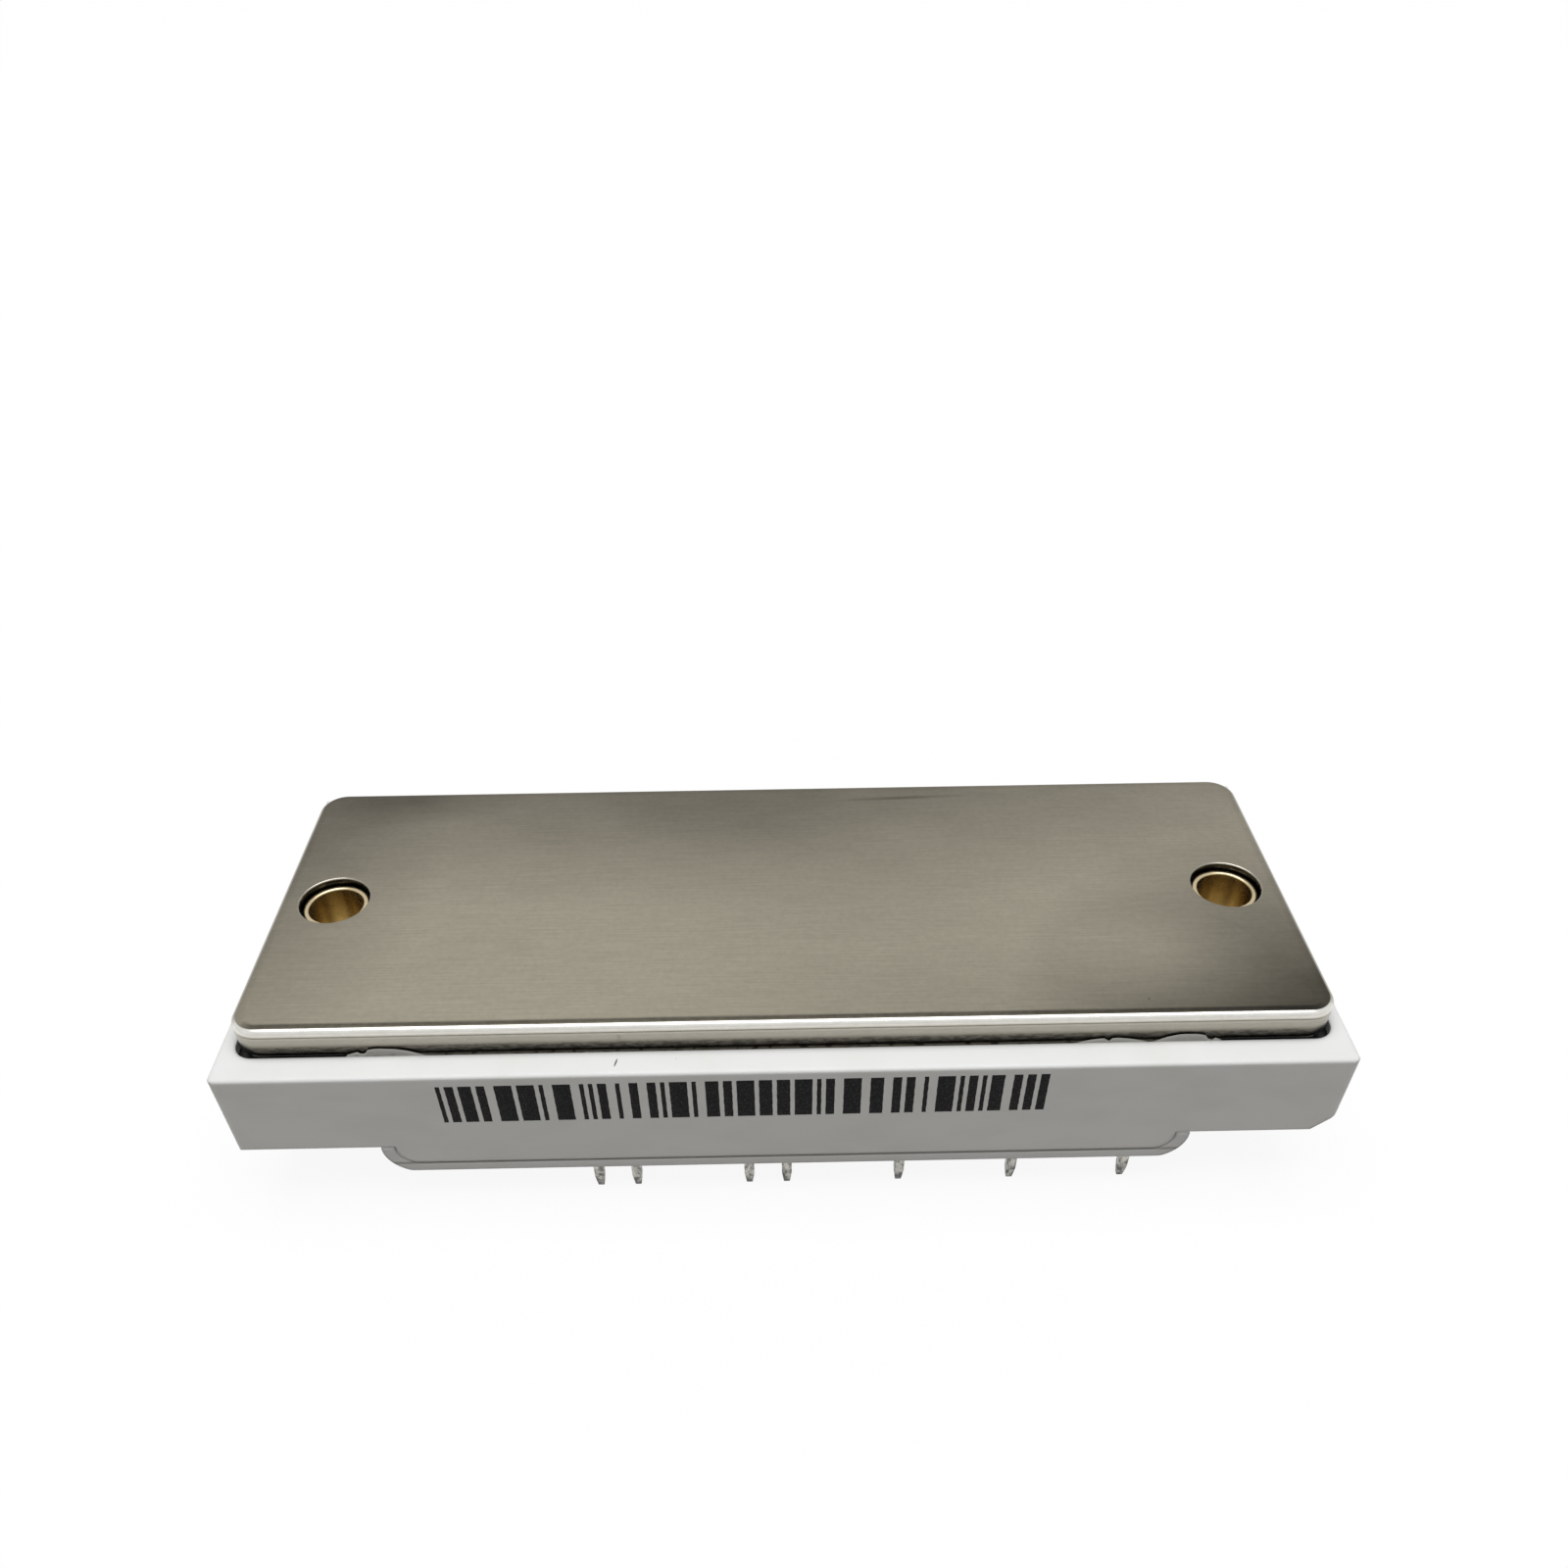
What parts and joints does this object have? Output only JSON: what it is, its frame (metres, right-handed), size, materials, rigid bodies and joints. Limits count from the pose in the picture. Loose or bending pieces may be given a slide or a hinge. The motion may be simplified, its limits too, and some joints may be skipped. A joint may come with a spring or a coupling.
{
  "type": "igbt power module",
  "caption": "Flat power semiconductor module: long white case on a nickel-plated copper baseplate, screw bushings at both ends and solder pins on the other face.",
  "frame": {"origin": "centre of the baseplate's flat outer face, which lies on a heat sink in use", "axes": "+Z out of the baseplate, +X along the case towards its chamfered end, so the pins point along -Z"},
  "size_m": [0.1076, 0.045, 0.0207],
  "materials": {
    "nickel_plate": "nickel-plated copper, fine brushed and slightly stained",
    "case_plastic": "moulded white thermoplastic, fine matte",
    "lid_plastic": "moulded white thermoplastic, fine matte",
    "bushing_brass": "turned brass",
    "silicone_glue": "cured white silicone glue",
    "potting_gel": "clear soft silicone gel",
    "solder": "dull soft solder",
    "substrate_copper": "bare bonded copper",
    "alumina": "white alumina",
    "thermistor_body": "black ceramic chip",
    "silicon": "metallised silicon",
    "bond_aluminium": "drawn aluminium wire",
    "tinned_pin": "matte tin plating"
  },
  "bodies": {
    "root": {"baseplate": "nickel_plate", "housing_frame": "case_plastic", "lid": "lid_plastic", "bushing_left": "bushing_brass", "bushing_right": "bushing_brass", "adhesive_seal": "silicone_glue", "silicone_gel": "potting_gel", "substrate_solder": "solder", "substrate_back_copper": "substrate_copper", "substrate_ceramic": "alumina", "substrate_tracks": "substrate_copper", "thermistor": "thermistor_body", "bond_wires": "bond_aluminium", "igbt_chip_1": "silicon", "igbt_chip_2": "silicon", "igbt_chip_3": "silicon", "igbt_chip_4": "silicon", "igbt_chip_5": "silicon", "igbt_chip_6": "silicon", "igbt_chip_7": "silicon", "diode_chip_1": "silicon", "diode_chip_2": "silicon", "diode_chip_3": "silicon", "diode_chip_4": "silicon", "diode_chip_5": "silicon", "diode_chip_6": "silicon", "diode_chip_7": "silicon", "rectifier_chip_1": "silicon", "rectifier_chip_2": "silicon", "rectifier_chip_3": "silicon", "rectifier_chip_4": "silicon", "rectifier_chip_5": "silicon", "rectifier_chip_6": "silicon", "pin_1": "tinned_pin", "pin_2": "tinned_pin", "pin_3": "tinned_pin", "pin_4": "tinned_pin", "pin_5": "tinned_pin", "pin_6": "tinned_pin", "pin_7": "tinned_pin", "pin_8": "tinned_pin", "pin_9": "tinned_pin", "pin_10": "tinned_pin", "pin_11": "tinned_pin", "pin_12": "tinned_pin", "pin_13": "tinned_pin", "pin_14": "tinned_pin", "pin_15": "tinned_pin", "pin_16": "tinned_pin", "pin_17": "tinned_pin", "pin_18": "tinned_pin", "pin_19": "tinned_pin", "pin_20": "tinned_pin", "pin_21": "tinned_pin", "pin_22": "tinned_pin", "pin_23": "tinned_pin", "pin_24": "tinned_pin"}
  },
  "joints": []
}
